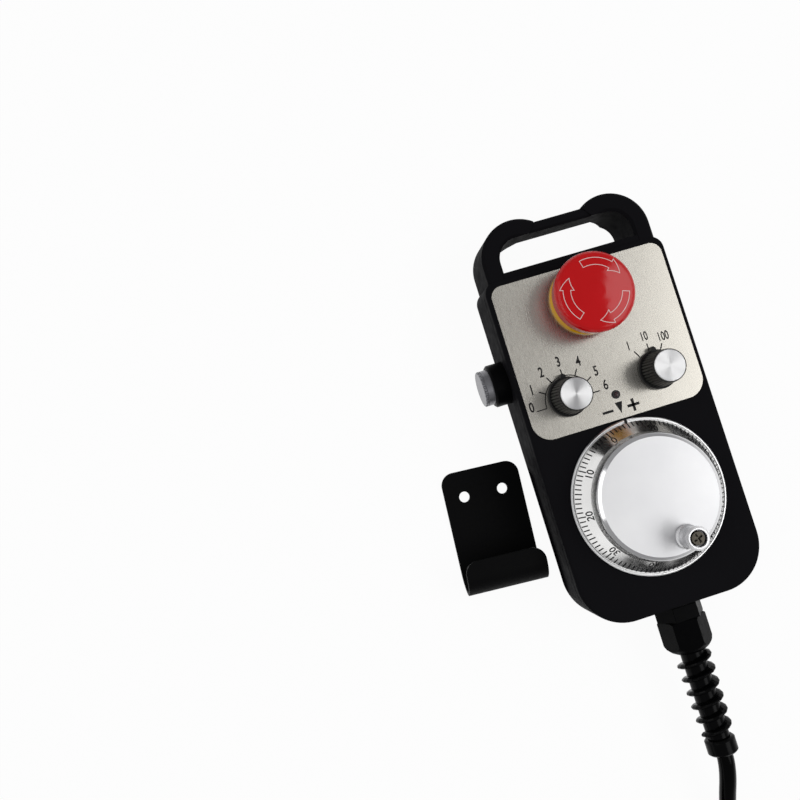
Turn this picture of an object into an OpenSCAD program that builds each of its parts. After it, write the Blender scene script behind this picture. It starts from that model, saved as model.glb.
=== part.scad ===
// Hand-held pulse generator pendant: a moulded case with a loop handle, an
// 80 mm handwheel, two selector knobs, an emergency stop, an enabling button
// and a cable on a gland, with its loose hanger bracket beside it.
// Millimetres. The back face lies on z = 0 under the handwheel's axis,
// +Y runs towards the handle and +Z out of the front face.

/* [Case] */
// Width of the case
case_w = 97.5; // [92:0.5:110]
// Distance from the handwheel's axis to the case's lower edge
case_below = 57.5; // [54:0.5:70]
// Distance from the handwheel's axis to the case's shoulders
case_above = 127; // [125:0.5:134]
// Thickness of the closed case
case_t = 36; // [35:0.5:42]
// Depth of the front shell's edge
lid_t = 6; // [5.5:0.25:7]
// Thickness of the side and back walls
wall_t = 2.5; // [2:0.1:3]
// Thickness of the front face
face_t = 3; // [2.6:0.1:3.4]
// Radius of the two lower corners, seen from the front
corner_bottom_r = 24; // [18:0.5:28]
// Radius of the two upper corners, seen from the front
corner_top_r = 7; // [5:0.5:9]
// Rounding of the front edge
front_edge_r = 1.6; // [0.8:0.1:2.4]
// Rounding of the back edge
back_edge_r = 6; // [3:0.5:7]
// Depth of the finger recess in each side
grip_depth = 1.1; // [0.5:0.1:1.4]
// Length of the finger recess in each side
grip_l = 78; // [50:1:84]

/* [Handle] */
// Outer radius of the handle's two lobes
lobe_r = 20.5; // [18:0.5:22]
// Distance between the centres of the two lobes
lobe_spacing = 50; // [46:0.5:52]
// Width of the handle's legs and lobes
leg_w = 9.5; // [7:0.25:10.5]
// Clear height of the finger slot under the bar
slot_h = 16.4; // [14:0.2:20]
// Thickness of the strip between the shoulders and the finger slot
slot_sill = 2.4; // [2:0.2:4]
// Height of the bar between the lobes, along Y
bar_h = 5.25; // [3.5:0.25:7]
// Depth of the bar, along Z
bar_t = 16; // [12:0.5:18]
// Chamfer of the handle's edges
handle_chamfer = 1.4; // [0.6:0.1:2]

/* [Panel plate] */
// Width of the steel plate
plate_w = 92.8; // [84:0.2:93.2]
// Height of the steel plate
plate_h = 82.5; // [80:0.25:83]
// Thickness of the steel plate
plate_t = 1; // [0.8:0.1:1.4]
// Height that the plate stands proud of the front face
plate_proud = 0.2; // [0:0.05:0.4]
// Radius of the plate's upper corners
plate_top_r = 6; // [3:0.5:8]
// Radius of the plate's lower corners
plate_bottom_r = 10; // [6:0.5:12]

/* [Handwheel] */
// Diameter of the fixed bezel ring
bezel_d = 80; // [78:0.5:81]
// Height of the bezel ring above the front face
bezel_h = 2; // [1.6:0.1:3]
// Height of the satin disc above the front face
wheel_h = 18; // [16:0.5:22]
// Diameter of the wheel's satin disc
disc_d = 58.6; // [56:0.2:60]
// Width of the bright chamfer around the disc
disc_chamfer = 1.2; // [0.6:0.1:1.6]
// Height of the printed scale cone
cone_h = 10; // [8:0.5:11]
// Diameter of the encoder's round housing
encoder_d = 58; // [56:0.5:58]
// Depth of the encoder's housing behind the front face
encoder_depth = 22; // [20:0.5:23]
// Diameter of the wheel's shaft
wheel_shaft_d = 8; // [7:0.5:8]
// Distance from the wheel's axis to the crank's axis
crank_r = 23; // [21:0.25:23.5]
// Angle of the crank at rest, counted from +X
crank_angle = -74; // [-180:1:180]
// Diameter of the crank's grip
crank_d = 12.2; // [10:0.1:13]
// Length of the crank's grip
crank_l = 14.2; // [12:0.2:20]
// Diameter of the crank's screw
crank_screw_d = 4; // [3:0.25:5]

/* [Selector knobs] */
// Distance between the two knobs' axes
knob_spacing = 49; // [46:0.5:52]
// Distance from the handwheel's axis to the knobs' axes, along Y
knob_y = 59.6; // [58.5:0.2:62]
// Diameter of a knob's skirt
knob_d = 20.4; // [18:0.2:21]
// Height of a knob above the plate
knob_h = 18.6; // [16:0.2:22]
// Diameter of a knob's aluminium top
knob_top_d = 15.8; // [14:0.2:16.4]
// Number of flutes round a knob
knob_flutes = 36; // [24:2:48]
// Diameter of a switch's shaft
knob_shaft_d = 6; // [5:0.5:6]
// Diameter of a switch's threaded bush
bush_d = 9; // [8.5:0.5:10]
// Diameter of a rotary switch's body
switch_d = 23; // [20:0.5:23]
// Depth of a rotary switch's body
switch_depth = 15; // [12:0.5:17]
// Angle at which the axis knob points at rest, counted from +X
axis_angle = 90; // [0:30:180]
// Angle at which the multiplier knob points at rest, counted from +X
multiplier_angle = 90; // [60:30:120]

/* [Emergency stop] */
// Distance from the handwheel's axis to the stop's axis, along Y
stop_y = 105; // [103:0.5:106]
// Diameter of the red mushroom head
stop_cap_d = 40.8; // [36:0.2:42]
// Height of the mushroom head
stop_cap_h = 13; // [11:0.5:16]
// Height of the head's top above the plate
stop_h = 21.8; // [20:0.2:26]
// Travel of the head when it is pressed
stop_travel = 4; // [3:0.25:4.5]
// Diameter of the yellow collar
stop_collar_d = 37.4; // [34:0.2:39]
// Height of the yellow collar
stop_collar_h = 3.8; // [3.5:0.1:5]
// Diameter of the stop's threaded barrel
stop_barrel_d = 22; // [21:0.5:22.5]
// Diameter of the stop's plunger
stop_stem_d = 11; // [9:0.5:12]

/* [Indicator] */
// Distance from the handwheel's axis to the lamp's axis, along Y
lamp_y = 53.6; // [50:0.2:56]
// Diameter of the lamp's rim
lamp_d = 4.4; // [3.6:0.1:5]

/* [Enabling button] */
// Distance from the handwheel's axis to the button's axis, along Y
enable_y = 76.5; // [76:0.5:84]
// Height of the button's axis above the back face
enable_z = 17; // [15:0.5:18]
// Diameter of the button's black collar
enable_collar_d = 22.6; // [22:0.2:23]
// Distance that the collar stands out of the side wall
enable_collar_l = 8.4; // [7:0.2:9]
// Diameter of the button's cap
enable_cap_d = 18.8; // [17:0.2:19.2]
// Distance from the side wall to the end of the cap
enable_cap_l = 13.6; // [12.6:0.2:15]
// Travel of the button when it is pressed
enable_travel = 3; // [2:0.25:3]
// Diameter of the button's threaded barrel
enable_barrel_d = 16; // [14:0.5:16]

/* [Cable entry] */
// Distance of the cable's axis to the right of the centre line
gland_x = 2; // [-4:0.5:4]
// Size across flats of the gland's hexagons
gland_flats = 22; // [20:0.5:23]
// Diameter of the gland's thread
gland_thread_d = 18.6; // [16:0.2:18.6]
// Length of the gland's fixed hexagon
gland_hex_l = 7.5; // [5:0.5:9]
// Length of the gland's domed nut
gland_nut_l = 17.5; // [14:0.5:20]
// Length of the spiral strain relief
relief_l = 46; // [30:1:54]
// Outer diameter of the spiral at the gland
relief_d = 19.2; // [15:0.2:20]
// Number of turns of the spiral
relief_turns = 5.5; // [4:0.5:8]
// Length of the relief's end cap
relief_cap_l = 8; // [6:0.5:12]
// Diameter of the relief's end cap
relief_cap_d = 15.6; // [14:0.2:17]

/* [Hanger bracket] */
// Width of the bracket
bracket_w = 42.5; // [36:0.5:48]
// Thickness of the bracket's sheet
bracket_t = 2; // [1.5:0.25:2.5]
// Length of the bracket's back plate, down to the bend
bracket_l = 53; // [46:0.5:60]
// Inner width of the hook
hook_gap = 18; // [17.5:0.5:22]
// Length of the hook's lip above the bend
lip_l = 7; // [4:0.5:12]
// Distance between the bracket's two holes
hole_spacing = 21; // [16:0.5:26]
// Diameter of the bracket's holes
hole_d = 5.8; // [4:0.1:6.4]
// Distance from the bracket's top edge to its holes
hole_drop = 14; // [10:0.5:18]
// Radius of the bracket's upper corners
bracket_corner_r = 7; // [3:0.5:9]

/* [Cable] */
// Diameter of the cable
cable_d = 8.5; // [7:0.25:9]
// Turns of the stored cable lying side by side
coil_wide = 3; // [2:1:3]
// Layers of the stored cable
coil_layers = 2; // [1:1:2]
// Diameter of the coil at the middle of its turns
coil_mid_d = 90; // [80:1:96]

/* [Hidden] */
$fn = 64;
eps = 0.01;
// Clearances
panel_gap = 0.15;    // between the plate or a bush and its hole
running_gap = 0.06;  // radial, between a shaft and its bore
free_gap = 0.3;      // between pieces that move past each other
screw_gap = 0.2;     // round a screw in its clearance hole

// Case
parting_z = case_t - lid_t;
lid_under_z = case_t - face_t;
half_w = case_w / 2;
inner_half_w = half_w - wall_t;
shoulder_shadow = 0.4;   // depth of the shadow line along the parting
gasket_w = 1;
gasket_h = 1;
post_r = 4;              // posts that carry the case screws
case_screw_r = 1.5;
case_screw_head_r = 2.9;
case_screw_head_h = 2;
case_screw_seat_z = 3;   // where the heads bear, in the posts
case_screw_top_z = case_t - face_t + 1;
post_inset = wall_t + post_r - 0.4;
post_low = corner_bottom_r * 0.29 + post_inset;
post_points = [
    [half_w - post_low, -case_below + post_low],
    [-half_w + post_low, -case_below + post_low],
    [half_w - post_inset, case_above - post_inset],
    [-half_w + post_inset, case_above - post_inset]
];

// Handle
slot_y = case_above + slot_sill;
lobe_y = slot_y + slot_h - lobe_r + leg_w;
lobe_x = lobe_spacing / 2;
bar_y = slot_y + slot_h;
bar_front_z = case_t - 1;
bar_back_z = bar_front_z - bar_t;
handle_back_z = 3;

// Panel plate
plate_top_z = case_t + plate_proud;
plate_seat_z = plate_top_z - plate_t;
plate_y0 = bezel_d / 2 + 1;
plate_y1 = plate_y0 + plate_h;

// Handwheel
bezel_r = bezel_d / 2;
bezel_w = 1.2;
bezel_floor_t = 0.8;
wheel_top_z = case_t + wheel_h;
disc_rim_r = disc_d / 2 + disc_chamfer + 0.7;
disc_t = 3;
disc_under_z = wheel_top_z - disc_t;
scale_foot_r = bezel_r - bezel_w - free_gap;
scale_foot_z = case_t + bezel_floor_t + free_gap;
scale_top_r = disc_rim_r + 1;
scale_t = 2;
hub_r = 9;
encoder_r = encoder_d / 2;
encoder_back_z = case_t - encoder_depth;
encoder_wall = 2;
encoder_neck_r = 13;
encoder_neck_z = case_t + 5;
bearing_r = 11;
bearing_t = 5;
wheel_shaft_r = wheel_shaft_d / 2;
wheel_shaft_z0 = encoder_back_z + 4;
code_disc_z = encoder_back_z + 7.5;
code_disc_r = encoder_r - encoder_wall - 3;
board_t = 1.6;
crank_x = crank_r * cos(crank_angle);
crank_y = crank_r * sin(crank_angle);
crank_z0 = wheel_top_z + free_gap;
crank_screw_r = crank_screw_d / 2;
crank_head_r = crank_screw_r * 1.85;
crank_head_h = 2.6;
crank_sink = 3.2;        // depth of the counterbore in the grip
bezel_screw_r = 1.5;

// Selector knobs
knob_x = knob_spacing / 2;
knob_z0 = plate_top_z + 0.5;
knob_top_z = plate_top_z + knob_h;
knob_skirt_h = 2.6;
knob_cap_t = 0.8;
knob_shaft_r = knob_shaft_d / 2;
bush_r = bush_d / 2;
nut_h = 2.2;
nut_flats = bush_d + 3;
switch_back_z = lid_under_z - switch_depth;

// Emergency stop
stop_top_z = plate_top_z + stop_h;
stop_cap_z0 = stop_top_z - stop_cap_h;
stop_barrel_r = stop_barrel_d / 2;
stop_bore_r = stop_barrel_r - 3;
stop_stem_r = stop_stem_d / 2;
stop_barrel_z0 = 19;
stop_flange_r = stop_barrel_r + 4;
stop_flange_h = 0.8;
stop_neck_z = stop_cap_z0 + 1;
stop_stem_z0 = stop_barrel_z0 - 2;
stop_stem_z1 = stop_top_z - 5;
stop_guide_z = 33;
stop_guide_h = 6;
stop_block_z0 = 5;
stop_block_w = 34;
stop_block_l = 26;

// Indicator
lamp_r = lamp_d / 2;
lamp_neck_r = lamp_r * 0.72;
lamp_lens_r = lamp_r * 0.55;

// Enabling button, measured outwards from the side wall
enable_cap_r = enable_cap_d / 2;
enable_barrel_r = enable_barrel_d / 2;
enable_barrel_in = 14.5;   // from the outer face of the wall to the barrel's end
enable_stem_r = 4;
enable_rest_l = enable_travel + free_gap + 0.4;
enable_nut_t = 3;
enable_block_t = 6;
enable_block_w = 12;
enable_groove_z = 11.8;

// Cable entry
gland_z = parting_z - gland_thread_d / 2 - 1.2;
gland_washer_t = 1.2;
gland_hex_y = -case_below - gland_washer_t;
gland_nut_y = gland_hex_y - gland_hex_l;
relief_y = gland_nut_y - gland_nut_l;
relief_cap_y = relief_y - relief_l;
relief_end_y = relief_cap_y - relief_cap_l;
gland_inner_y = -case_below + 10;
locknut_t = 4;
cable_r = cable_d / 2;
cable_bore_r = cable_r + free_gap;
relief_core_r = cable_r + 1.5;

// Hanger bracket
bracket_turn = -4;
bracket_at = [-76, 6];
hook_r = hook_gap / 2;
bracket_low = -26;     // y of the hook's bend, before the bracket is turned
lip_z = bracket_t + hook_gap;

// Wiring inside
wiring_board_at = [15, stop_y - 23];
wiring_board_size = [50, 13];
wiring_post_h = 6;
wiring_post_spread = 20;
terminal_w = 8;
terminal_h = 7;

// Cable on the surface beside the case, up to the coil
lead_points = [
    [gland_x, -48, gland_z], [gland_x, -75, gland_z], [gland_x, -100, gland_z],
    [gland_x, -120, gland_z], [gland_x, -137, gland_z],
    [1.5, -145, 19.2], [0.3, -152, 17.8], [-1.1, -159, 15.4], [-2, -166, 12.4],
    [-1.9, -173, 9.3], [-1.1, -180, 6.9], [-0.3, -187, 5.6], [0, -194, 5], [0, -206, 5]
];
coil_at = [-53, -222];
coil_mid_r = coil_mid_d / 2;
coil_half_w = coil_wide * cable_d / 2;
coil_h = coil_layers * cable_d;
tie_t = 1;               // the tied coil rests on its tie
// Cable from the coil's upper layer down to the connector
connector_at = [-106, -190];
tail_points = [
    [-106, -218, 13.4], [-106, -212, 12.7], [-106, -206, 10.8], [-106, -200, 8.6],
    [-106, -195, 7], [-106, -192, 6.5], [-106, -190, 6.5]
];
connector_z = 6.5;
hood_w = 32;
hood_l = 38;
hood_t = 13;
hood_neck_w = 16;
hood_shoulder_l = 12;
hood_screw_l = 14;
hood_screw_r = 1.5;

// ---------------------------------------------------------------- helpers

// Regular hexagon across flats, standing on a corner
module hexagon(flats) { circle(d = flats / cos(30), $fn = 6); }

// Tube along +Z from z0 to z1
module tube(r_out, r_in, z0, z1) {
    difference() {
        translate([0, 0, z0]) cylinder(r = r_out, h = z1 - z0);
        translate([0, 0, z0 - 1]) cylinder(r = r_in, h = z1 - z0 + 2);
    }
}

module rod(r, z0, z1) { translate([0, 0, z0]) cylinder(r = r, h = z1 - z0); }

// Places its children with their +Z pointing down the cable's way, -Y
module along_cable(y) { translate([gland_x, y, gland_z]) rotate([90, 0, 0]) children(); }

// Places its children with their +Z pointing out of the left side wall
module out_of_side() {
    translate([-half_w, enable_y, enable_z]) rotate([0, -90, 0]) children();
}

// The case's outline, drawn in by inset
module case_outline(inset) {
    rb = corner_bottom_r - inset;
    rt = max(corner_top_r - inset, 1);
    w = half_w - inset;
    low = -case_below + inset;
    high = case_above - inset;
    for (s = [-1, 1]) {
        translate([s * (w - rb), low + rb]) circle(r = rb);
        translate([s * (w - rt), high - rt]) circle(r = rt);
    }
    translate([-w, low + rb]) square([2 * w, high - rt - low - rb]);
    translate([-w + rb, low]) square([2 * (w - rb), rb + 1]);
    translate([-w + rt, high - rt - 1]) square([2 * (w - rt), rt + 1]);
}

// A slice of the case. edge lists [inset, z] pairs from its lowest to its
// highest level.
module case_block(edge) {
    low = -case_below;
    high = case_above;
    z0 = edge[0][1];
    z1 = edge[len(edge) - 1][1];
    for (c = [[corner_bottom_r, low + corner_bottom_r], [corner_top_r, high - corner_top_r]])
        for (s = [-1, 1]) translate([s * (half_w - c[0]), c[1], 0]) rotate_extrude($fn = 96)
            polygon(concat([[0, z0]], [for (e = edge) [c[0] - e[0], e[1]]], [[0, z1]]));
    translate([0, high - corner_top_r, 0]) rotate([90, 0, 0])
        linear_extrude(high - low - corner_top_r - corner_bottom_r) polygon(concat(
            [for (e = edge) [half_w - e[0], e[1]]],
            [for (i = [len(edge) - 1:-1:0]) [edge[i][0] - half_w, edge[i][1]]]
        ));
    translate([corner_bottom_r - half_w, 0, 0]) rotate([90, 0, 90])
        linear_extrude(2 * (half_w - corner_bottom_r)) polygon(concat(
            [[low + corner_bottom_r + 1, z0]], [for (e = edge) [low + e[0], e[1]]],
            [[low + corner_bottom_r + 1, z1]]
        ));
    translate([corner_top_r - half_w, 0, 0]) rotate([90, 0, 90])
        linear_extrude(2 * (half_w - corner_top_r)) polygon(concat(
            [[high - corner_top_r - 1, z0]], [for (e = edge) [high - e[0], e[1]]],
            [[high - corner_top_r - 1, z1]]
        ));
}

// Edge pairs of a quarter-round edge of radius r that ends at z
function low_edge(r, z, steps) =
    [for (i = [steps:-1:0]) let (a = 90 * i / steps) [r * (1 - cos(a)), z + r - r * sin(a)]];
function high_edge(r, z, steps) =
    [for (i = [0:steps]) let (a = 90 * i / steps) [r * (1 - cos(a)), z - r + r * sin(a)]];

// ---------------------------------------------------------------- handle

// Section of the handle's leg: x is measured outwards, z upwards
module leg_section(z0, z1, cut_low, cut_high) {
    c = handle_chamfer;
    polygon([
        [lobe_r - leg_w + c * cut_low, z0], [lobe_r - c * cut_low, z0],
        [lobe_r, z0 + c * cut_low], [lobe_r, z1 - c * cut_high],
        [lobe_r - c * cut_high, z1], [lobe_r - leg_w + c * cut_high, z1],
        [lobe_r - leg_w, z1 - c * cut_high], [lobe_r - leg_w, z0 + c * cut_low]
    ]);
}

// The two legs and lobes between two heights
module handle_legs(z0, z1, cut_low, cut_high) {
    for (s = [0, 1]) mirror([s, 0, 0]) {
        translate([lobe_x, lobe_y, 0]) {
            rotate_extrude(angle = 126, $fn = 96) leg_section(z0, z1, cut_low, cut_high);
            rotate([90, 0, 0]) linear_extrude(lobe_y - case_above + corner_top_r + 1)
                leg_section(z0, z1, cut_low, cut_high);
        }
    }
}

// The bar between the lobes
module handle_bar(z0, z1, cut_low, cut_high) {
    c = handle_chamfer * 0.8;
    reach = lobe_x - 6;
    translate([-reach, 0, 0]) rotate([90, 0, 90]) linear_extrude(2 * reach) polygon([
        [bar_y, z0], [bar_y + bar_h - c * cut_low, z0], [bar_y + bar_h, z0 + c * cut_low],
        [bar_y + bar_h, z1 - c * cut_high], [bar_y + bar_h - c * cut_high, z1],
        [bar_y + c * cut_high, z1], [bar_y, z1 - c * cut_high]
    ]);
}

// Strip between the shoulders and the finger slot
module handle_sill(z0, z1) {
    reach = lobe_x + lobe_r - leg_w + 1;
    translate([-reach, case_above - wall_t / 2, z0])
        cube([2 * reach, slot_y - case_above + wall_t / 2, z1 - z0]);
}

// Clears the finger slot of what the lobes leave in it
module finger_slot() {
    inner_r = lobe_r - leg_w;
    half_w = lobe_x + inner_r;
    translate([0, 0, -1]) linear_extrude(case_t + 2) intersection() {
        union() {
            for (s = [-1, 1]) translate([s * lobe_x, lobe_y]) circle(r = inner_r);
            translate([-lobe_x, slot_y]) square([2 * lobe_x, slot_h]);
            translate([-half_w, slot_y]) square([2 * half_w, lobe_y - slot_y]);
        }
        translate([-half_w, slot_y]) square([2 * half_w, slot_h]);
    }
}

// Scoop behind the bar, with sloping ends
module bar_scoop() {
    half_back = lobe_x + 9;
    half_front = lobe_x - 4;
    translate([0, bar_y - 3, 0]) rotate([-90, 0, 0]) linear_extrude(bar_h + lobe_r)
        polygon([
            [-half_back, 1], [half_back, 1], [half_front, -bar_back_z], [-half_front, -bar_back_z]
        ]);
}

// ---------------------------------------------------------------- case

module panel_openings(plate) {
    gap = plate ? panel_gap * 2 : panel_gap;
    translate([0, stop_y, 0]) cylinder(r = stop_barrel_r + gap, h = 2 * case_t);
    for (s = [-1, 1]) translate([s * knob_x, knob_y, 0])
        cylinder(r = bush_r + gap, h = 2 * case_t);
    translate([0, lamp_y, 0]) cylinder(r = lamp_neck_r + gap, h = 2 * case_t);
}

module front_shell() {
    color("#1b1b1d") difference() {
        union() {
            difference() {
                case_block(concat([[0, parting_z]], high_edge(front_edge_r, case_t, 4)));
                translate([0, 0, parting_z - 1])
                    linear_extrude(lid_under_z - parting_z + 1) case_outline(wall_t);
            }
            for (p = post_points) translate([p[0], p[1], 0])
                rod(post_r, parting_z, lid_under_z + eps);
            handle_legs(parting_z, case_t - 0.4, 0, 1);
            handle_bar(parting_z, bar_front_z, 0, 1);
            handle_sill(parting_z, case_t - 0.6);
        }
        finger_slot();
        translate([0, 0, plate_seat_z]) linear_extrude(face_t) plate_outline(panel_gap);
        panel_openings(false);
        rod(encoder_r + panel_gap, parting_z, case_t + 1);
        for (p = post_points) translate([p[0], p[1], 0])
            rod(case_screw_r, parting_z - 1, case_screw_top_z);
    }
}

// Shallow finger recess in each side, with sloping ends
module side_grip() {
    mid_y = -8;
    z0 = parting_z * 0.2;
    for (s = [-1, 1]) translate([0, mid_y, z0]) linear_extrude(parting_z * 0.52) polygon([
        [s * (half_w - grip_depth), -grip_l / 2 + 6], [s * (half_w + 1), -grip_l / 2 - 5],
        [s * (half_w + 1), grip_l / 2 + 5], [s * (half_w - grip_depth), grip_l / 2 - 6]
    ]);
}

module rear_shell() {
    color("#1b1b1d") difference() {
        union() {
            difference() {
                case_block(concat(low_edge(back_edge_r, 0, 5),
                    [[0, parting_z - 0.8], [shoulder_shadow, parting_z]]));
                translate([0, 0, wall_t]) linear_extrude(parting_z) case_outline(wall_t);
                side_grip();
            }
            intersection() {
                translate([0, 0, wall_t - 0.5]) linear_extrude(parting_z - wall_t + 0.5) case_outline(0.5);
                for (p = post_points) translate([p[0], p[1], 0]) rod(post_r, 1, parting_z);
            }
            for (s = [-1, 1])
                translate([wiring_board_at[0] + s * wiring_post_spread, wiring_board_at[1], 0])
                rod(2.5, 1, wall_t + wiring_post_h);
            difference() {
                handle_legs(handle_back_z, parting_z, 1, 0);
                bar_scoop();
            }
            handle_bar(bar_back_z, parting_z, 1, 0);
            handle_sill(handle_back_z, parting_z);
        }
        finger_slot();
        gasket_ring(gasket_w + 0.2, gasket_h, 1);
        for (p = post_points) translate([p[0], p[1], 0]) {
            rod(case_screw_r + screw_gap, -1, parting_z + 1);
            rod(case_screw_head_r + screw_gap, -1, case_screw_seat_z);
        }
        along_cable(-case_below + wall_t + 1) cylinder(r = gland_thread_d / 2 + panel_gap, h = wall_t + 2);
        out_of_side() rod(enable_barrel_r + panel_gap, -wall_t - 1, 2);
    }
}

// Strip along the rim, standing on the groove's floor
module gasket_ring(w, h, over) {
    mid = wall_t / 2 + 0.1;
    translate([0, 0, parting_z - h]) linear_extrude(h + over) difference() {
        case_outline(mid - w / 2);
        case_outline(mid + w / 2);
    }
}

module shell_gasket() { color("#2a2a2c") gasket_ring(gasket_w, gasket_h, 0); }

module case_screws() {
    color("#3a3a3c") for (p = post_points) translate([p[0], p[1], 0]) difference() {
        union() {
            rod(case_screw_r, case_screw_seat_z - eps, case_screw_top_z - 1);
            rod(case_screw_head_r, case_screw_seat_z - case_screw_head_h, case_screw_seat_z);
        }
        for (a = [0, 90]) rotate([0, 0, a]) translate([-1.6, -0.35, 0])
            cube([3.2, 0.7, case_screw_seat_z - case_screw_head_h + 1.2]);
    }
}

// Outline of the steel plate, let out by gap
module plate_outline(gap) {
    w = plate_w / 2 + gap;
    low = plate_y0 - gap;
    high = plate_y1 + gap;
    rb = plate_bottom_r + gap;
    rt = plate_top_r + gap;
    for (s = [-1, 1]) {
        translate([s * (w - rb), low + rb]) circle(r = rb);
        translate([s * (w - rt), high - rt]) circle(r = rt);
    }
    translate([-w, low + rb]) square([2 * w, high - rt - low - rb]);
    translate([-w + rb, low]) square([2 * (w - rb), rb + 1]);
    translate([-w + rt, high - rt - 1]) square([2 * (w - rt), rt + 1]);
}

module panel_plate() {
    color("#b9b5ad") difference() {
        translate([0, 0, plate_seat_z]) linear_extrude(plate_t) plate_outline(0);
        panel_openings(true);
        rod(encoder_r + panel_gap, 0, 2 * case_t);
    }
}

// ---------------------------------------------------------------- handwheel

module bezel_ring() {
    notch_w = 1.2;
    color("#e8e8ea") difference() {
        translate([0, 0, case_t]) rotate_extrude($fn = 128) polygon([
            [encoder_r + panel_gap, 0], [bezel_r, 0], [bezel_r, bezel_h - 0.5],
            [bezel_r - 0.5, bezel_h], [bezel_r - bezel_w + 0.3, bezel_h],
            [bezel_r - bezel_w, bezel_h - 0.3], [bezel_r - bezel_w, bezel_floor_t],
            [encoder_r + panel_gap, bezel_floor_t]
        ]);
        translate([-notch_w / 2, bezel_r - bezel_w - 1, case_t + bezel_h - 0.8])
            cube([notch_w, bezel_w + 2, 2]);
        for (a = [30, 150, 270]) rotate([0, 0, a]) translate([encoder_r + 3, 0, 0])
            rod(bezel_screw_r, case_t - 1, case_t + 3);
    }
}

// Screws that draw the bezel down on the front face
module bezel_screws() {
    color("#8d8d90") for (a = [30, 150, 270]) rotate([0, 0, a])
        translate([encoder_r + 3, 0, 0]) rod(bezel_screw_r, case_t, case_t + bezel_floor_t);
}

module encoder_housing() {
    color("#232326") difference() {
        union() {
            rod(encoder_r, encoder_back_z, case_t + bezel_floor_t - 0.2);
            rod(encoder_neck_r, case_t, encoder_neck_z);
        }
        rod(encoder_r - encoder_wall, encoder_back_z - 1, case_t - encoder_wall - bearing_t - 4);
        rod(bearing_r, encoder_back_z, encoder_neck_z - 1.5);
        rod(wheel_shaft_r + 1, 0, 2 * case_t);
    }
}

bearing_low_z = case_t - encoder_wall - bearing_t - 4 + 0.4;
bearing_high_z = encoder_neck_z - 1.5 - bearing_t;

module encoder_bearings() {
    color("#c9c9cc") for (z = [bearing_low_z, bearing_high_z])
        tube(bearing_r, wheel_shaft_r + running_gap, z, z + bearing_t);
}

module encoder_board() {
    color("#1f6b3a") difference() {
        rod(encoder_r - encoder_wall, encoder_back_z, encoder_back_z + board_t);
        rod(2, 0, case_t);
    }
}

module encoder_terminals() {
    pitch = 5.5;
    h = 6;
    color("#d8d8da") translate([-2.5 * pitch, -encoder_r / 2 - 1, encoder_back_z - h]) difference() {
        cube([5 * pitch + 5, 8, h]);
        for (i = [0:5]) translate([2.5 + i * pitch, 4, -1]) cylinder(r = 1.5, h = 3);
    }
}

module wheel_shaft() {
    color("#b5b5b8") rod(wheel_shaft_r, wheel_shaft_z0, disc_under_z - eps);
}

module code_disc() {
    slots = 25;
    color("#4c4c50") difference() {
        union() {
            tube(code_disc_r, wheel_shaft_r, code_disc_z, code_disc_z + 0.6);
            tube(wheel_shaft_r + 3, wheel_shaft_r, code_disc_z, code_disc_z + 3);
        }
        for (i = [0:slots - 1]) rotate([0, 0, i * 360 / slots])
            translate([code_disc_r - 5, -0.8, code_disc_z - 1]) cube([3.5, 1.6, 3]);
    }
}

module scale_ring() {
    z1 = scale_foot_z + 0.8;
    z2 = case_t + cone_h;
    color("#d9d9dc") rotate_extrude($fn = 128) polygon([
        [scale_foot_r, scale_foot_z], [scale_foot_r, z1], [scale_top_r, z2],
        [disc_rim_r, disc_under_z], [disc_rim_r - scale_t, disc_under_z],
        [scale_top_r - scale_t, z2 - 1], [scale_foot_r - 2.4, scale_foot_z]
    ]);
}

module wheel_disc() {
    color("#c8c8ca") difference() {
        union() {
            rotate_extrude($fn = 128) polygon([
                [0, disc_under_z], [disc_rim_r, disc_under_z],
                [disc_rim_r, wheel_top_z - disc_chamfer * 0.8 - 0.4],
                [disc_rim_r - 0.5, wheel_top_z - disc_chamfer * 0.8],
                [disc_d / 2, wheel_top_z], [0, wheel_top_z]
            ]);
            tube(hub_r, wheel_shaft_r, encoder_neck_z + free_gap, disc_under_z + eps);
            translate([crank_x, crank_y, 0]) rod(crank_screw_r + 3, disc_under_z - 4, disc_under_z + eps);
        }
        translate([crank_x, crank_y, 0]) rod(crank_screw_r, disc_under_z - 3, wheel_top_z + 1);
        translate([0, 0, disc_under_z - eps]) mirror([0, 0, 1]) cylinder(r = wheel_shaft_r, h = 1);
    }
}

module crank_screw() {
    head_z = crank_z0 + crank_l - crank_sink;
    color("#9a9a9e") translate([crank_x, crank_y, 0]) difference() {
        union() {
            rod(crank_screw_r, disc_under_z - 3, head_z + eps);
            translate([0, 0, head_z + free_gap])
                cylinder(r1 = crank_head_r, r2 = crank_head_r - 0.5, h = crank_head_h - free_gap - 0.2);
            rod(crank_screw_r, head_z, head_z + 1);
        }
        for (a = [20, 110]) rotate([0, 0, a])
            translate([-crank_head_r * 0.62, -0.5, head_z + crank_head_h - 1.4])
                cube([crank_head_r * 1.24, 1, 2]);
    }
}

module crank_grip() {
    r = crank_d / 2;
    bore = crank_screw_r + running_gap;
    color("#c2c2c4") translate([crank_x, crank_y, crank_z0]) rotate_extrude() polygon([
        [bore, 0], [r - 0.4, 0], [r, 0.4], [r, 1.2], [r - 0.7, 2.2],
        [r - 0.9, crank_l * 0.5], [r - 0.3, crank_l - 1.6], [r - 0.3, crank_l - 0.9], [r - 1.1, crank_l],
        [crank_head_r + 0.5, crank_l], [crank_head_r + 0.3, crank_l - 0.4],
        [crank_head_r + 0.3, crank_l - crank_sink], [bore, crank_l - crank_sink]
    ]);
}

// ---------------------------------------------------------------- selector knobs

module at_knob(side) { translate([side * knob_x, knob_y, 0]) children(); }

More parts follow.
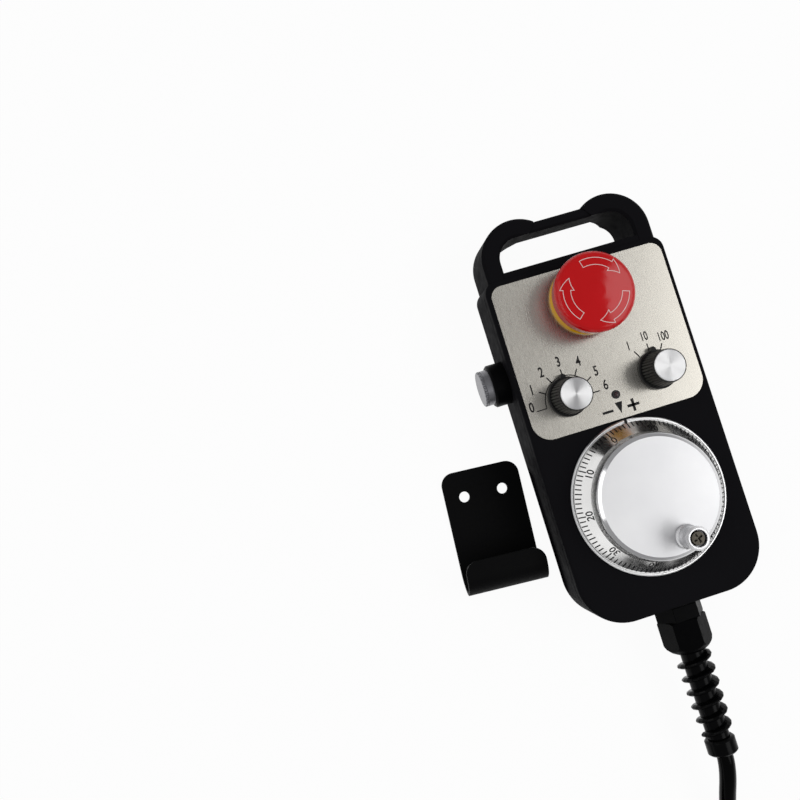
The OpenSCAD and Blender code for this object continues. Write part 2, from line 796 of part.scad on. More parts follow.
// Fluted knob with a skirt and a pointer, pointing along +X before it is turned
module knob(angle) {
    body_h = knob_top_z - knob_z0 - knob_skirt_h;
    foot_r = knob_d / 2 - 0.9;
    top_r = knob_top_d / 2 + 0.5;
    rotate([0, 0, angle]) difference() {
        union() {
            rotate_extrude() polygon([
                [0, knob_z0], [knob_d / 2, knob_z0], [knob_d / 2, knob_z0 + knob_skirt_h - 0.5],
                [knob_d / 2 - 0.5, knob_z0 + knob_skirt_h], [0, knob_z0 + knob_skirt_h]
            ]);
            translate([0, 0, knob_z0 + knob_skirt_h - eps])
                linear_extrude(body_h - 0.6, scale = top_r / foot_r) fluted(foot_r);
            rod(top_r - 0.1, knob_top_z - 1, knob_top_z - 0.2);
            translate([knob_d / 2 - 1.5, 0, knob_z0]) linear_extrude(knob_skirt_h + 1.4)
                polygon([[0, -1.7], [2.4, -1.1], [3.3, 0], [2.4, 1.1], [0, 1.7]]);
        }
        rod(knob_top_d / 2, knob_top_z - knob_cap_t, knob_top_z + 1);
        rod(knob_d / 2 - 2.4, knob_z0 - 1, plate_top_z + nut_h + 1.2);
        rod(knob_shaft_r, knob_z0, knob_top_z - 3);
    }
}

// Round outline with shallow flutes
module fluted(r) {
    step = 360 / knob_flutes;
    polygon([for (i = [0:knob_flutes - 1]) each [
        [r * cos(i * step), r * sin(i * step)],
        [r * cos((i + 0.45) * step), r * sin((i + 0.45) * step)],
        [(r - 0.55) * cos((i + 0.72) * step), (r - 0.55) * sin((i + 0.72) * step)]
    ]]);
}

module knob_top() {
    r = knob_top_d / 2;
    rotate_extrude() polygon([
        [0, knob_top_z - knob_cap_t], [r, knob_top_z - knob_cap_t], [r, knob_top_z - 0.3],
        [r - 0.3, knob_top_z], [0, knob_top_z]
    ]);
}

module selector_shaft() {
    rod(knob_shaft_r, switch_back_z + 2.5, knob_top_z - 3);
}

// Rotary switch with its threaded bush and solder tags
module rotary_switch(tags) {
    difference() {
        union() {
            rod(switch_d / 2, switch_back_z, lid_under_z);
            rod(bush_r, lid_under_z - 1, plate_top_z + nut_h + 0.6);
        }
        rod(knob_shaft_r + running_gap, switch_back_z + 2, case_t * 2);
    }
    for (i = [0:tags - 1]) rotate([0, 0, i * 360 / tags])
        translate([switch_d / 2 - 3, -0.8, switch_back_z - 4]) cube([0.8, 1.6, 4 + eps]);
}

module panel_nut() {
    difference() {
        translate([0, 0, plate_top_z]) linear_extrude(nut_h) hexagon(nut_flats);
        rod(bush_r, 0, 2 * case_t);
    }
}

module axis_knob() { color("#141416") at_knob(-1) knob(axis_angle); }
module axis_knob_top() { color("#d6d6d8") at_knob(-1) knob_top(); }
module axis_shaft() { color("#b0b0b3") at_knob(-1) selector_shaft(); }
module axis_switch() { color("#6e5a3a") at_knob(-1) rotary_switch(8); }
module axis_nut() { color("#a8a8ab") at_knob(-1) panel_nut(); }
module multiplier_knob() { color("#141416") at_knob(1) knob(multiplier_angle); }
module multiplier_knob_top() { color("#d6d6d8") at_knob(1) knob_top(); }
module multiplier_shaft() { color("#b0b0b3") at_knob(1) selector_shaft(); }
module multiplier_switch() { color("#6e5a3a") at_knob(1) rotary_switch(4); }
module multiplier_nut() { color("#a8a8ab") at_knob(1) panel_nut(); }

// ---------------------------------------------------------------- emergency stop

module at_stop() { translate([0, stop_y, 0]) children(); }

module stop_cap() {
    r = stop_cap_d / 2;
    h = stop_cap_h;
    bore = stop_stem_r - 2 + running_gap;
    color("#c3161c") at_stop() translate([0, 0, stop_cap_z0]) rotate_extrude($fn = 96) polygon(concat(
        [[r - 2.2, 0], [r - 0.7, 0.8]],
        [for (a = [0:15:90]) [r - 3 + 3 * cos(a), h - 4.6 + 3 * sin(a)]],
        [for (i = [1:4]) [(r - 3) * (1 - i / 4), h - 1.6 + 1.6 * sin(i * 22.5)]],
        [[0, h - 3], [bore, h - 3], [bore, 3], [stop_stem_r + 1, 3], [stop_stem_r + 1, h - 5.5],
         [r - 6, h - 5.5], [r - 2.6, h - 8], [r - 3, 0.8]]
    ));
}

module stop_stem() {
    color("#2b2b2e") at_stop() difference() {
        union() {
            rod(stop_stem_r, stop_stem_z0, stop_cap_z0 + 3 - free_gap);
            rod(stop_stem_r - 2, stop_cap_z0 + 2, stop_top_z - 3 - free_gap);
            rod(stop_bore_r - running_gap, stop_guide_z, stop_guide_z + stop_guide_h);
        }
    }
}

module stop_barrel() {
    color("#1d1d1f") at_stop() difference() {
        union() {
            rod(stop_barrel_r, stop_barrel_z0, plate_top_z + stop_collar_h);
            rod(stop_flange_r, plate_top_z + stop_collar_h, plate_top_z + stop_collar_h + stop_flange_h);
        }
        rod(stop_bore_r, stop_barrel_z0 + 2, 2 * case_t);
        rod(stop_stem_r + running_gap, 0, case_t);
    }
}

module stop_collar() {
    r = stop_collar_d / 2;
    color("#e8c51a") at_stop() translate([0, 0, plate_top_z]) rotate_extrude($fn = 96) polygon([
        [stop_barrel_r + panel_gap, 0], [r, 0], [r, 1.6], [r - 1.6, stop_collar_h],
        [stop_barrel_r + panel_gap, stop_collar_h]
    ]);
}

module stop_nut() {
    h = 4;
    color("#2b2b2e") at_stop() difference() {
        translate([0, 0, lid_under_z - h]) linear_extrude(h) hexagon(stop_barrel_d + 5);
        rod(stop_barrel_r, 0, case_t);
    }
}

module stop_contacts() {
    well_z = stop_stem_z0 - stop_travel - 1;
    color("#d9d4c4") at_stop() difference() {
        translate([-stop_block_w / 2, -stop_block_l / 2, stop_block_z0])
            cube([stop_block_w, stop_block_l, stop_barrel_z0 - stop_block_z0]);
        rod(stop_stem_r + 1.5, well_z, case_t);
        for (x = [-1, 1], y = [-1, 1]) translate([x * (stop_block_w / 2 - 5), y * 7, 0])
            rod(2, stop_block_z0 - 1, stop_block_z0 + 2);
    }
}

// Coil spring standing for its outer form
module spring_sleeve(r_out, r_in, z0, z1) { tube(r_out, r_in, z0, z1); }

module stop_spring() {
    color("#9fa0a4") at_stop() spring_sleeve(stop_bore_r - free_gap, stop_stem_r + free_gap,
        stop_barrel_z0 + 2, stop_guide_z);
}

// ---------------------------------------------------------------- indicator

module lamp_rim() {
    color("#55565a") translate([0, lamp_y, 0]) difference() {
        union() {
            rotate_extrude() polygon([
                [0, plate_top_z], [lamp_r, plate_top_z], [lamp_r, plate_top_z + 0.4],
                [lamp_r - 0.4, plate_top_z + 0.8], [0, plate_top_z + 0.8]
            ]);
            rod(lamp_neck_r, lid_under_z - 3, plate_top_z + eps);
        }
        rod(lamp_lens_r, 0, 2 * case_t);
    }
}

module lamp_lens() {
    color("#3b1517") translate([0, lamp_y, 0]) {
        rod(lamp_lens_r, lid_under_z - 3, plate_top_z + 0.6);
        translate([0, 0, plate_top_z + 0.6]) intersection() {
            scale(1) sphere(r = lamp_lens_r);
            rod(lamp_lens_r, 0, lamp_lens_r);
        }
    }
}

// ---------------------------------------------------------------- enabling button

module enable_collar() {
    r = enable_collar_d / 2;
    inner = enable_cap_r + running_gap;
    color("#19191b") out_of_side() rotate_extrude() polygon([
        [enable_stem_r + running_gap, 0], [enable_stem_r + running_gap, -enable_barrel_in],
        [enable_barrel_r, -enable_barrel_in], [enable_barrel_r, 0], [r, 0],
        [r, enable_collar_l - 0.8], [r - 0.8, enable_collar_l], [inner, enable_collar_l],
        [inner, 0.4], [enable_barrel_r - 2, 0.4], [enable_barrel_r - 2, -enable_barrel_in + 2],
        [enable_stem_r + running_gap, -enable_barrel_in + 2]
    ]);
}

// Cap in two bands with a groove between them, the outer band scalloped
module enable_cap() {
    r = enable_cap_r;
    groove = 0.5;
    scallops = 24;
    color("#8f9093") out_of_side() {
        difference() {
            rotate_extrude() polygon([
                [0, enable_rest_l], [r, enable_rest_l], [r, enable_groove_z],
                [r - groove, enable_groove_z], [r - groove, enable_groove_z + groove],
                [r, enable_groove_z + groove], [r, enable_cap_l - 0.4], [r - 0.4, enable_cap_l],
                [0, enable_cap_l]
            ]);
            for (i = [0:scallops - 1]) rotate([0, 0, 360 * i / scallops])
                translate([r + 0.25, 0, 0]) rod(0.75, enable_groove_z + groove / 2, enable_cap_l + 1);
        }
        rod(enable_stem_r, -enable_barrel_in + 1, enable_rest_l + eps);
    }
}

module enable_nut() {
    color("#3a3a3d") out_of_side() difference() {
        translate([0, 0, -wall_t - enable_nut_t]) linear_extrude(enable_nut_t)
            hexagon(enable_barrel_d + 3);
        rod(enable_barrel_r, -case_t, 1);
    }
}

module enable_spring() {
    color("#9fa0a4") out_of_side() spring_sleeve(enable_barrel_r - 2 - free_gap,
        enable_stem_r + free_gap, -enable_barrel_in + 2, enable_rest_l);
}

module enable_contacts() {
    w = enable_block_w;
    z = -enable_barrel_in - enable_block_t;
    color("#d9d4c4") out_of_side() difference() {
        translate([-w / 2, -w / 2, z]) cube([w, w, enable_block_t]);
        rod(enable_stem_r + free_gap, -enable_barrel_in - enable_travel - free_gap, 0);
    }
}

// ---------------------------------------------------------------- cable entry

module gland_body() {
    thread_r = gland_thread_d / 2;
    color("#202022") difference() {
        union() {
            along_cable(gland_hex_y) linear_extrude(gland_hex_l) hexagon(gland_flats);
            along_cable(gland_inner_y) cylinder(r = thread_r, h = gland_inner_y - gland_hex_y + eps);
        }
        along_cable(gland_inner_y + 1) cylinder(r = cable_bore_r + 1.2, h = gland_inner_y - gland_hex_y + 1);
        along_cable(gland_inner_y) cylinder(r = cable_bore_r + 2.5, h = gland_inner_y - gland_nut_y + 1);
    }
}

module gland_washer() {
    color("#111113") along_cable(-case_below) difference() {
        cylinder(r = gland_flats / 2 - 0.3, h = gland_washer_t);
        translate([0, 0, -1]) cylinder(r = gland_thread_d / 2, h = gland_washer_t + 2);
    }
}

module gland_locknut() {
    color("#202022") along_cable(-case_below + wall_t + locknut_t) difference() {
        linear_extrude(locknut_t) rotate(30) hexagon(gland_flats + 1);
        translate([0, 0, -1]) cylinder(r = gland_thread_d / 2, h = locknut_t + 2);
    }
}

// Hexagon turned off to a dome at the relief's end
module gland_nut() {
    corner_r = gland_flats / 2 / cos(30);
    neck_r = relief_core_r + 1.6;
    color("#202022") along_cable(gland_nut_y) difference() {
        intersection() {
            linear_extrude(gland_nut_l) rotate(12) hexagon(gland_flats);
            rotate_extrude() polygon([
                [0, 0], [corner_r - 1, 0], [corner_r, 0.8], [corner_r, gland_nut_l * 0.72],
                [corner_r - 0.8, gland_nut_l * 0.82], [corner_r - 2.6, gland_nut_l * 0.93],
                [corner_r - 4.6, gland_nut_l], [0, gland_nut_l]
            ]);
        }
        translate([0, 0, -1]) cylinder(r = cable_bore_r + 2.5, h = gland_nut_l - 2);
        translate([0, 0, gland_nut_l - 4]) cylinder(r = cable_bore_r, h = 5);
    }
}

module gland_grommet() {
    color("#111113") along_cable(gland_nut_y + gland_hex_l - 1) tube(cable_bore_r + 2.5,
        cable_r + 0.1, 0, gland_hex_l + gland_nut_l - 8);
}

module relief_core() {
    color("#1c1c1e") along_cable(relief_y) difference() {
        cylinder(r1 = relief_core_r + 0.3, r2 = relief_core_r, h = relief_l);
        translate([0, 0, -1]) cylinder(r = cable_bore_r, h = relief_l + 2);
    }
}

// Spiral fin rooted in the core, thinning towards the cable
module relief_spiral() {
    steps = 16 * ceil(relief_turns);
    fin_t = 3.2;
    root_r = relief_core_r - 0.6;
    travel = relief_l - 2 * fin_t;
    section = [[0, -0.5], [0.62, -0.42], [0.92, -0.2], [1, 0], [0.92, 0.2], [0.62, 0.42], [0, 0.5]];
    n = len(section);
    color("#1c1c1e") along_cable(relief_y) polyhedron(
        points = [for (i = [0:steps], p = section)
            let (a = 360 * relief_turns * i / steps,
                 r = root_r + p[0] * (relief_d / 2 - root_r) * (1 - 0.24 * i / steps))
            [r * cos(a), r * sin(a), fin_t + travel * i / steps + p[1] * fin_t]],
        faces = concat(
            [[for (k = [0:n - 1]) k]],
            [[for (k = [0:n - 1]) (steps + 1) * n - 1 - k]],
            [for (i = [0:steps - 1], k = [0:n - 1]) let (a = i * n, b = (k + 1) % n)
                [a + k, a + n + k, a + n + b, a + b]]
        )
    );
}

module relief_cap() {
    r = relief_cap_d / 2;
    l = relief_cap_l;
    color("#1c1c1e") along_cable(relief_cap_y) rotate_extrude() polygon([
        [cable_bore_r, 0], [r - 1, 0], [r, 1], [r, l - 0.8], [r - 0.8, l], [cable_bore_r, l]
    ]);
}

// ---------------------------------------------------------------- wiring

module wiring_board() {
    z = wall_t + wiring_post_h;
    color("#1f6b3a") translate([wiring_board_at[0] - wiring_board_size[0] / 2,
        wiring_board_at[1] - wiring_board_size[1] / 2, z])
        cube([wiring_board_size[0], wiring_board_size[1], board_t]);
}

module wiring_terminals() {
    z = wall_t + wiring_post_h + board_t;
    ways = 8;
    pitch = 5;
    color("#2c7a45") difference() {
        translate([wiring_board_at[0] - ways * pitch / 2, wiring_board_at[1] - terminal_w / 2, z])
            cube([ways * pitch, terminal_w, terminal_h]);
        for (i = [0:ways - 1])
            translate([wiring_board_at[0] + (i + 0.5 - ways / 2) * pitch, wiring_board_at[1], 0])
                rod(1.6, z + terminal_h - 3, z + terminal_h + 1);
    }
}

// ---------------------------------------------------------------- cable

function unit(v) = v / norm(v);
function mid_dir(p, i) = unit(p[min(i + 1, len(p) - 1)] - p[max(i - 1, 0)]);
function side_dir(d) = unit(cross(d, [1, 0, 0]));
function ring_at(p, i, r, sides) = let (d = mid_dir(p, i), u = side_dir(d), v = cross(d, u))
    [for (k = [0:sides - 1]) p[i] + r * (cos(k * 360 / sides) * u + sin(k * 360 / sides) * v)];

// Tube of radius r swept along points
module swept_tube(p, r, sides) {
    n = len(p);
    polyhedron(
        points = [for (i = [0:n - 1]) each ring_at(p, i, r, sides)],
        faces = concat(
            [[for (k = [0:sides - 1]) k]],
            [[for (k = [0:sides - 1]) n * sides - 1 - k]],
            [for (i = [0:n - 2], k = [0:sides - 1]) let (a = i * sides, b = (k + 1) % sides)
                [a + k, a + sides + k, a + sides + b, a + b]]
        )
    );
}

module cable_lead() { color("#101011") swept_tube(lead_points, cable_r, 12); }
module cable_tail() { color("#101011") swept_tube(tail_points, cable_r, 12); }

module cable_coil() {
    r = cable_r;
    color("#101011") translate([coil_at[0], coil_at[1], tie_t]) rotate_extrude($fn = 96)
        translate([coil_mid_r, 0]) {
            translate([-coil_half_w + r, 0]) square([2 * coil_half_w - 2 * r, coil_h]);
            translate([-coil_half_w, r]) square([2 * coil_half_w, max(coil_h - 2 * r, eps)]);
            for (s = [-1, 1], z = [r, coil_h - r])
                translate([s * (coil_half_w - r), z]) circle(r = r, $fn = 24);
        }
}

module cable_tie() {
    w = coil_half_w;
    color("#3b3b3e") translate([coil_at[0], coil_at[1], 0]) rotate([0, 0, 250])
        rotate_extrude(angle = 12, $fn = 96) translate([coil_mid_r, 0]) difference() {
            translate([-w - tie_t, 0]) square([2 * (w + tie_t), coil_h + 2 * tie_t]);
            translate([-w, tie_t]) square([2 * w, coil_h]);
        }
}

module connector_hood() {
    y0 = connector_at[1];
    relief = 8;
    color("#2a2b2e") difference() {
        union() {
            translate([connector_at[0], y0, connector_z]) rotate([-90, 0, 0])
                cylinder(r1 = cable_r + 0.8, r2 = cable_r + 1.8, h = relief + eps);
            translate([connector_at[0], y0 + relief, 0]) linear_extrude(hood_t) polygon([
                [-hood_neck_w / 2, 0], [hood_neck_w / 2, 0], [hood_w / 2, hood_shoulder_l],
                [hood_w / 2, hood_l - relief], [-hood_w / 2, hood_l - relief],
                [-hood_w / 2, hood_shoulder_l]
            ]);
        }
        for (s = [-1, 1]) translate([connector_at[0] + s * (hood_w / 2 - 3.2), y0 + hood_l + 1, connector_z])
            rotate([90, 0, 0]) cylinder(r = hood_screw_r + panel_gap, h = hood_screw_l - 2);
    }
}

module connector_shell() {
    y0 = connector_at[1] + hood_l;
    color("#b9b9bc") translate([connector_at[0], y0, connector_z]) {
        translate([-hood_w / 2 + 0.5, 0, -5.5]) difference() {
            cube([hood_w - 1, 1, 11]);
            for (x = [2.7, hood_w - 3.7]) translate([x, -1, 5.5]) rotate([-90, 0, 0])
                cylinder(r = 1.6, h = 3);
        }
        rotate([-90, 0, 0]) linear_extrude(6.5) polygon([
            [-9, -3.6], [9, -3.6], [9.6, -2.6], [8.6, 3], [7.8, 3.6], [-7.8, 3.6], [-8.6, 3], [-9.6, -2.6]
        ]);
    }
}

module connector_screws() {
    y0 = connector_at[1] + hood_l;
    color("#9a9a9d") for (s = [-1, 1])
        translate([connector_at[0] + s * (hood_w / 2 - 3.2), y0 + 5, connector_z])
            rotate([90, 0, 0]) cylinder(r = hood_screw_r, h = hood_screw_l);
}

// ---------------------------------------------------------------- hanger bracket

module hanger_bracket() {
    half = bracket_w / 2;
    r = bracket_corner_r;
    outer = hook_r + bracket_t;
    color("#161618") translate([bracket_at[0], bracket_at[1], 0]) rotate([0, 0, bracket_turn])
        translate([0, bracket_low - bracket_at[1], 0]) difference() {
            union() {
                // back plate
                translate([0, outer, 0]) linear_extrude(bracket_t) {
                    translate([-half, 0]) square([bracket_w, bracket_l - r]);
                    translate([-half + r, bracket_l - r - 1]) square([bracket_w - 2 * r, r + 1]);
                    for (s = [-1, 1]) translate([s * (half - r), bracket_l - r]) circle(r = r);
                }
                // bend
                translate([-half, outer, outer]) rotate([90, 0, 90]) difference() {
                    cylinder(r = outer, h = bracket_w);
                    translate([0, 0, -1]) cylinder(r = hook_r, h = bracket_w + 2);
                    translate([0, -outer - 1, -1]) cube([outer + 1, 2 * outer + 2, bracket_w + 2]);
                }
                // lip
                translate([0, outer, lip_z]) linear_extrude(bracket_t) {
                    translate([-half, 0]) square([bracket_w, max(lip_l - r, 0.5)]);
                    translate([-half + r, 0]) square([bracket_w - 2 * r, lip_l]);
                    for (s = [-1, 1]) translate([s * (half - r), lip_l - r])
                        intersection() {
                            circle(r = r);
                            translate([-r, max(r - lip_l, 0)]) square([2 * r, 2 * r]);
                        }
                }
            }
            for (s = [-1, 1]) translate([s * hole_spacing / 2, outer + bracket_l - hole_drop, -1])
                cylinder(r = hole_d / 2, h = bracket_t + 2);
        }
}

// ---------------------------------------------------------------- assembly

front_shell();
rear_shell();
shell_gasket();
case_screws();
panel_plate();
bezel_ring();
bezel_screws();
encoder_housing();
encoder_bearings();
encoder_board();
encoder_terminals();
wheel_shaft();
code_disc();
scale_ring();
wheel_disc();
crank_screw();
crank_grip();
axis_knob();
axis_knob_top();
axis_shaft();
axis_switch();
axis_nut();
multiplier_knob();
multiplier_knob_top();
multiplier_shaft();
multiplier_switch();
multiplier_nut();
stop_cap();
stop_stem();
stop_barrel();
stop_collar();
stop_nut();
stop_contacts();
stop_spring();
lamp_rim();
lamp_lens();
enable_cap();
enable_collar();
enable_nut();
enable_spring();
enable_contacts();
gland_body();
gland_washer();
gland_locknut();
gland_nut();
gland_grommet();
relief_core();
relief_spiral();
relief_cap();
wiring_board();
wiring_terminals();
cable_lead();
cable_coil();
cable_tail();
cable_tie();
connector_hood();
connector_shell();
connector_screws();
hanger_bracket();
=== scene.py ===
import bpy, bmesh, math
from mathutils import Vector, Matrix


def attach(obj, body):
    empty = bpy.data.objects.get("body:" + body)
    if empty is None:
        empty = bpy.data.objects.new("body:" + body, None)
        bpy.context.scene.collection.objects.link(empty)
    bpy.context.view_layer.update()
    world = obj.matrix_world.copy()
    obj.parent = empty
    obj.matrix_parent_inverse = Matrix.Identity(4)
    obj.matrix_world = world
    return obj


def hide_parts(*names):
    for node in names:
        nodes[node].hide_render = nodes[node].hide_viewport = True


# A hand-held pulse generator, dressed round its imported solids. The solids are in metres; the
# marks and the cable added here are worked out in millimetres.
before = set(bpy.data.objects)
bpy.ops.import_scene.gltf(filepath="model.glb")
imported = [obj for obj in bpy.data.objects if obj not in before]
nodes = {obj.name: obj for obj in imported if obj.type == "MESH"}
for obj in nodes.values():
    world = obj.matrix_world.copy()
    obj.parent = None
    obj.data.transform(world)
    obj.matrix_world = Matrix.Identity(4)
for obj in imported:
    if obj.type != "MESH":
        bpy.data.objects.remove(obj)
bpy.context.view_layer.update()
MM = 0.001

# ------------------------------------------------------------------ camera
# Fitted to the outlines of the photograph
cam_data = bpy.data.cameras.new("camera")
cam = bpy.data.objects.new("camera", cam_data)
bpy.context.collection.objects.link(cam)
cam.location = (-0.1458, 0.0536, 0.4839)
cam.rotation_euler = [math.radians(a) for a in (4.97, -3.76, -16.94)]
cam_data.lens = 40.5
cam_data.sensor_width = 36
cam_data.clip_start = 0.01
bpy.context.scene.camera = cam


# ------------------------------------------------------------------ helpers
def add_mesh(name, verts, faces):
    me = bpy.data.meshes.new(name)
    me.from_pydata([tuple(v) for v in verts], [], faces)
    me.update()
    ob = bpy.data.objects.new(name, me)
    bpy.context.collection.objects.link(ob)
    return ob


# Most values of a noise texture lie between these two
NOISE_LOW, NOISE_HIGH = 0.3, 0.7


class Mat:
    """A procedural material built round one Principled shader."""

    def __init__(self, name, colour, rough, metal=0.0, **kw):
        self.m = bpy.data.materials.new(name)
        self.m.use_nodes = True
        self.t = self.m.node_tree
        self.t.nodes.clear()
        out = self.t.nodes.new("ShaderNodeOutputMaterial")
        self.b = self.t.nodes.new("ShaderNodeBsdfPrincipled")
        self.t.links.new(self.b.outputs[0], out.inputs[0])
        self.b.inputs["Base Color"].default_value = (*colour, 1)
        self.b.inputs["Roughness"].default_value = rough
        self.b.inputs["Metallic"].default_value = metal
        for k, v in kw.items():
            self.b.inputs[k.replace("_", " ")].default_value = v
        self.co = self.t.nodes.new("ShaderNodeTexCoord").outputs["Object"]
        self.normal = None

    def node(self, kind, **kw):
        n = self.t.nodes.new(kind)
        for k, v in kw.items():
            setattr(n, k, v)
        return n

    def link(self, a, b):
        self.t.links.new(a, b)

    def noise(self, scale, stretch=(1, 1, 1), detail=3.0):
        """Noise fixed to the object, finer along an axis that is stretched."""
        mp = self.node("ShaderNodeMapping")
        mp.inputs["Scale"].default_value = stretch
        self.link(self.co, mp.inputs["Vector"])
        n = self.node("ShaderNodeTexNoise")
        n.inputs["Scale"].default_value = scale
        n.inputs["Detail"].default_value = detail
        n.inputs["Roughness"].default_value = 0.5
        self.link(mp.outputs[0], n.inputs["Vector"])
        return n.outputs["Fac"]

    def range(self, fac, lo, hi, a, b):
        """Maps a..b of the factor to lo..hi."""
        r = self.node("ShaderNodeMapRange")
        r.inputs["From Min"].default_value = a
        r.inputs["From Max"].default_value = b
        r.inputs["To Min"].default_value = lo
        r.inputs["To Max"].default_value = hi
        self.link(fac, r.inputs["Value"])
        return r.outputs[0]

    def rough(self, fac, lo, hi, a=NOISE_LOW, b=NOISE_HIGH):
        self.link(self.range(fac, lo, hi, a, b), self.b.inputs["Roughness"])
        return self

    def colour(self, fac, c0, c1, a=NOISE_LOW, b=NOISE_HIGH):
        r = self.node("ShaderNodeValToRGB")
        r.color_ramp.elements[0].position = a
        r.color_ramp.elements[0].color = (*c0, 1)
        r.color_ramp.elements[1].position = b
        r.color_ramp.elements[1].color = (*c1, 1)
        self.link(fac, r.inputs["Fac"])
        self.link(r.outputs["Color"], self.b.inputs["Base Color"])
        return self

    def edge(self, radius):
        """Rounds the shading of sharp edges. It comes before any bump."""
        n = self.node("ShaderNodeBevel", samples=4)
        n.inputs["Radius"].default_value = radius
        self.normal = n.outputs[0]
        self.link(self.normal, self.b.inputs["Normal"])
        return self

    def across(self, axis):
        """Blur runs along this axis of the object, so the grain runs across it."""
        v = self.node("ShaderNodeVectorTransform", vector_type="VECTOR", convert_from="OBJECT",
                      convert_to="WORLD")
        v.inputs[0].default_value = axis
        self.link(v.outputs[0], self.b.inputs["Tangent"])
        return self

    def bump(self, fac, strength, distance):
        n = self.node("ShaderNodeBump")
        n.inputs["Strength"].default_value = strength
        n.inputs["Distance"].default_value = distance
        self.link(fac, n.inputs["Height"])
        if self.normal is not None:
            self.link(self.normal, n.inputs["Normal"])
        self.normal = n.outputs[0]
        self.link(self.normal, self.b.inputs["Normal"])
        return self


# ------------------------------------------------------------------ cable
# One curve from the bend protector down to the floor, round the coil and up to the connector
CABLE_R = 4.25
COIL = (-53.0, -222.0)
LEAD = [(2, -136.6, 19.5), (2, -140.5, 19.45), (1.5, -145, 19.2), (0.3, -152, 17.8), (-1.1, -159, 15.4),
        (-2, -166, 12.4), (-1.9, -173, 9.3), (-1.1, -180, 6.9), (-0.3, -187, 5.7), (0, -194, 5.3),
        (0, -202, 5.25), (0, -212, 5.25)]
TAIL = [(-106, -215, 13.3), (-106, -209, 11.9), (-106, -203, 9.8), (-106, -198, 8.0),
        (-106, -194, 6.9), (-106, -189, 6.5)]
PER_TURN = 20
TURNS = 5.5
STEP_OVER = 0.25  # part of a turn in which the cable passes on to the next one
# Radius and height of each turn, outwards in on the floor and inwards out above it
LAYERS = [(53, 5.25), (44.5, 5.25), (36, 5.25), (36, 13.75), (44.5, 13.75), (53, 13.75)]


def smoothstep(t):
    t = min(max(t, 0.0), 1.0)
    return t * t * (3 - 2 * t)


coil = []
for i in range(1, int(TURNS * PER_TURN) + 1):
    turn = i / PER_TURN
    k = min(int(turn), len(LAYERS) - 1)
    r, z = LAYERS[k]
    if k < len(LAYERS) - 1:
        f = smoothstep((turn - k - 1 + STEP_OVER) / STEP_OVER)
        r += (LAYERS[k + 1][0] - r) * f
        z += (LAYERS[k + 1][1] - z) * f
    a = -turn * 2 * math.pi
    coil.append((COIL[0] + r * math.cos(a), COIL[1] + r * math.sin(a), z))
route = LEAD + coil + TAIL
cu = bpy.data.curves.new("cable", "CURVE")
cu.dimensions = "3D"
sp = cu.splines.new("BEZIER")
sp.bezier_points.add(len(route) - 1)
for p, c in zip(sp.bezier_points, route):
    p.co = [v * MM for v in c]
    p.handle_left_type = p.handle_right_type = "AUTO"
sp.resolution_u = 3
cu.bevel_depth = CABLE_R * MM
cu.bevel_resolution = 5
cu.use_fill_caps = True
cable = bpy.data.objects.new("cable", cu)
bpy.context.collection.objects.link(cable)
bpy.context.view_layer.update()

# ------------------------------------------------------------------ materials
black = Mat("moulded_black", (0.0072, 0.007, 0.0082), 0.5, Specular_IOR_Level=0.006)
black.rough(black.noise(220, detail=4), 0.42, 0.56).edge(0.0005)
black.bump(black.noise(2600, detail=2), 0.35, 0.00006)

bracket_m = Mat("powder_black", (0.002, 0.002, 0.0022), 0.55, Specular_IOR_Level=0.06)
bracket_m.rough(bracket_m.noise(500), 0.48, 0.62).edge(0.0004)
bracket_m.bump(bracket_m.noise(3200, detail=2), 0.3, 0.00005)

gasket_m = Mat("gasket_rubber", (0.012, 0.012, 0.012), 0.75)
gasket_m.rough(gasket_m.noise(900), 0.68, 0.82)

# Brushed along the case, over a faint mottle
plate = Mat("brushed_plate", (0.585, 0.56, 0.505), 0.26, 1.0, Anisotropic=0.75)
grain = plate.noise(1.0, (9000, 160, 1), detail=3)
mottle = plate.noise(1.0, (70, 30, 1), detail=3)
mixn = plate.node("ShaderNodeMath", operation="MULTIPLY_ADD")
mixn.inputs[1].default_value = 0.35
plate.link(mottle, mixn.inputs[0])
plate.link(grain, mixn.inputs[2])
plate.colour(mixn.outputs[0], (0.555, 0.53, 0.475), (0.61, 0.585, 0.53), 0.45, 0.9)
plate.rough(grain, 0.2, 0.32).edge(0.0002)
plate.across((1, 0, 0))
plate.bump(grain, 0.1, 0.00002)

bezel_m = Mat("bezel_chrome", (0.9, 0.9, 0.9), 0.3, 1.0)
bezel_m.rough(bezel_m.noise(140, detail=4), 0.26, 0.34)

scale_m = Mat("scale_chrome", (0.9, 0.895, 0.885), 0.2, 1.0)
scale_m.rough(scale_m.noise(200, detail=4), 0.18, 0.24)

# The disc's flat face is satin, its chamfer and wall are polished
satin = Mat("satin_disc", (0.82, 0.82, 0.83), 0.36, 1.0)
satin.colour(satin.noise(26, detail=4), (0.74, 0.74, 0.75), (0.82, 0.82, 0.825))
satin.bump(satin.noise(3800, detail=2), 0.12, 0.00003)
face = satin.node("ShaderNodeSeparateXYZ")
satin.link(satin.co.node.outputs["Normal"], face.inputs[0])
satin.rough(face.outputs["Z"], 0.14, 0.47, 0.9, 0.99)

grip_m = Mat("turned_grip", (0.74, 0.74, 0.75), 0.26, 1.0)
grip_m.rough(grip_m.noise(1.0, (300, 300, 9000), detail=1), 0.2, 0.34).edge(0.0003)

